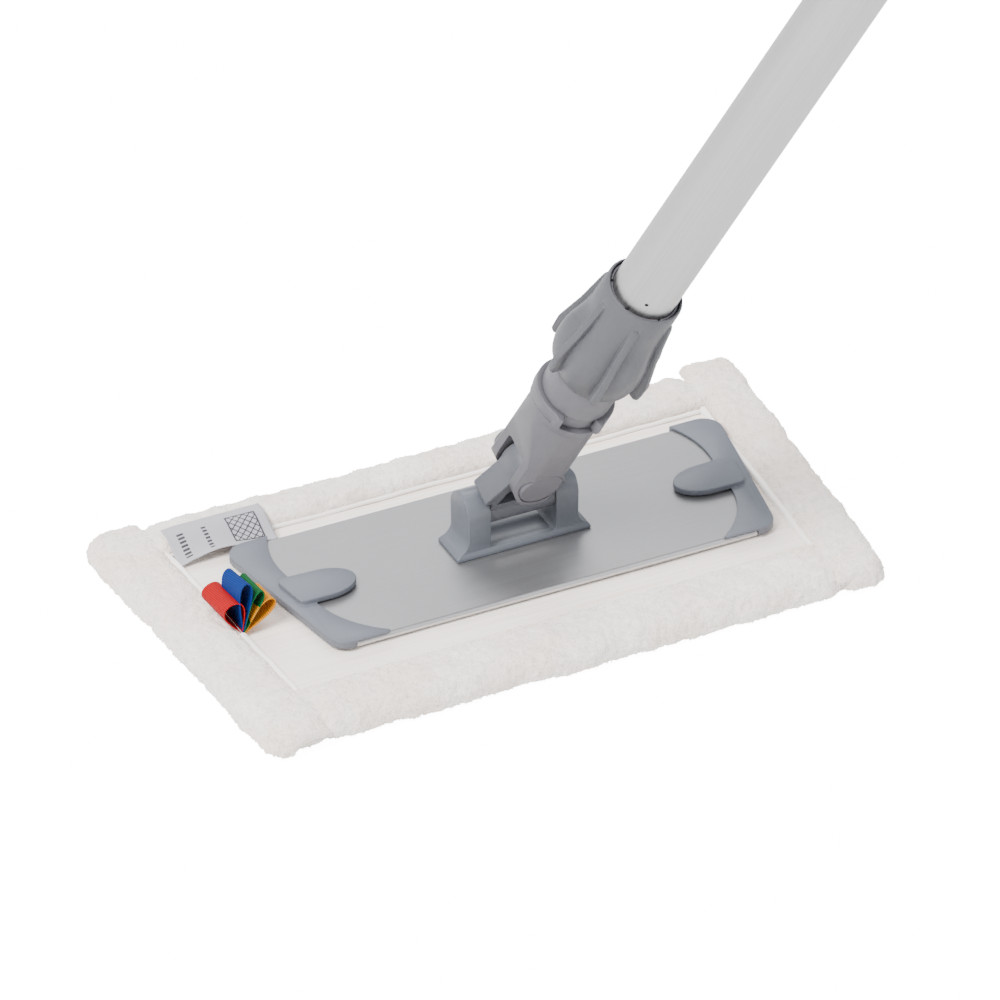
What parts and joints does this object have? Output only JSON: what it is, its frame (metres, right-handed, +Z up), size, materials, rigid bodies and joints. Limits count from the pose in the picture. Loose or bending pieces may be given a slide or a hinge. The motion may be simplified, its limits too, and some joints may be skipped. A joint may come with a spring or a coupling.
{
  "type": "flat mop",
  "caption": "Flat mop: microfibre pad on a tapered aluminium plate with grey end caps, a two-way swivel, a ribbed clamp nut and a straight tube handle.",
  "frame": {"origin": "underside of the mop pad, straight below the middle of the handle bracket", "axes": "+X along the mop, to the user's right; +Y away from the user; +Z up"},
  "size_m": [0.488, 0.6844, 1.2342],
  "materials": {
    "plush": "matte",
    "woven_panel": "matte",
    "binding_tape": "matte",
    "label_cloth": "matte",
    "ribbon_red": "matte",
    "ribbon_blue": "matte",
    "ribbon_green": "matte",
    "ribbon_yellow": "matte",
    "hook_tape": "matte",
    "plate_aluminium": "brushed",
    "cap_plastic": "satin",
    "bracket_plastic": "satin",
    "steel": "satin",
    "knuckle_plastic": "satin",
    "swivel_plastic": "satin",
    "nut_plastic": "satin",
    "tube_aluminium": "satin anodised",
    "grip_plastic": "matte"
  },
  "bodies": {
    "head": {"mop_cloth": "plush", "pad_band_left": "plush", "pad_band_right": "plush", "pad_band_front": "plush", "pad_band_rear": "plush", "backing_panel": "woven_panel", "binding_tape_left": "binding_tape", "binding_tape_right": "binding_tape", "binding_tape_front": "binding_tape", "binding_tape_rear": "binding_tape", "care_label": "label_cloth", "colour_loop_red": "ribbon_red", "colour_loop_blue": "ribbon_blue", "colour_loop_green": "ribbon_green", "colour_loop_yellow": "ribbon_yellow", "hook_strip_front": "hook_tape", "hook_strip_rear": "hook_tape", "plate": "plate_aluminium", "end_cap_left": "cap_plastic", "end_cap_right": "cap_plastic", "bracket": "bracket_plastic", "rivet_1": "steel", "rivet_2": "steel", "rivet_3": "steel", "rivet_4": "steel", "hinge_pin": "steel"},
    "knuckle_body": {"knuckle": "knuckle_plastic"},
    "handle_body": {"fork": "swivel_plastic", "swing_pin": "swivel_plastic", "swing_pin_cap": "swivel_plastic", "retaining_ring": "swivel_plastic", "neck_sleeve": "swivel_plastic", "handle_tube": "tube_aluminium", "hand_grip": "grip_plastic", "grip_cap": "grip_plastic"},
    "nut_body": {"clamp_nut": "nut_plastic"}
  },
  "joints": [
    {"name": "head_tilt", "type": "hinge", "parent": "head", "child": "knuckle_body", "pos_m": [0, 0, 0.0317], "axis": [1, 0, 0], "range_deg": [-97, 45.5]},
    {"name": "fork_swing", "type": "hinge", "parent": "knuckle_body", "child": "handle_body", "pos_m": [0, -0.01333, 0.0588], "axis": [0, 0.8973, 0.4415], "range_deg": [-68, 42.5]},
    {"name": "nut_turn", "type": "hinge", "parent": "handle_body", "child": "nut_body", "pos_m": [0.02199, -0.0564, 0.14633], "axis": [0.2198, -0.4307, 0.8753], "range_deg": [-120, 0]}
  ]
}
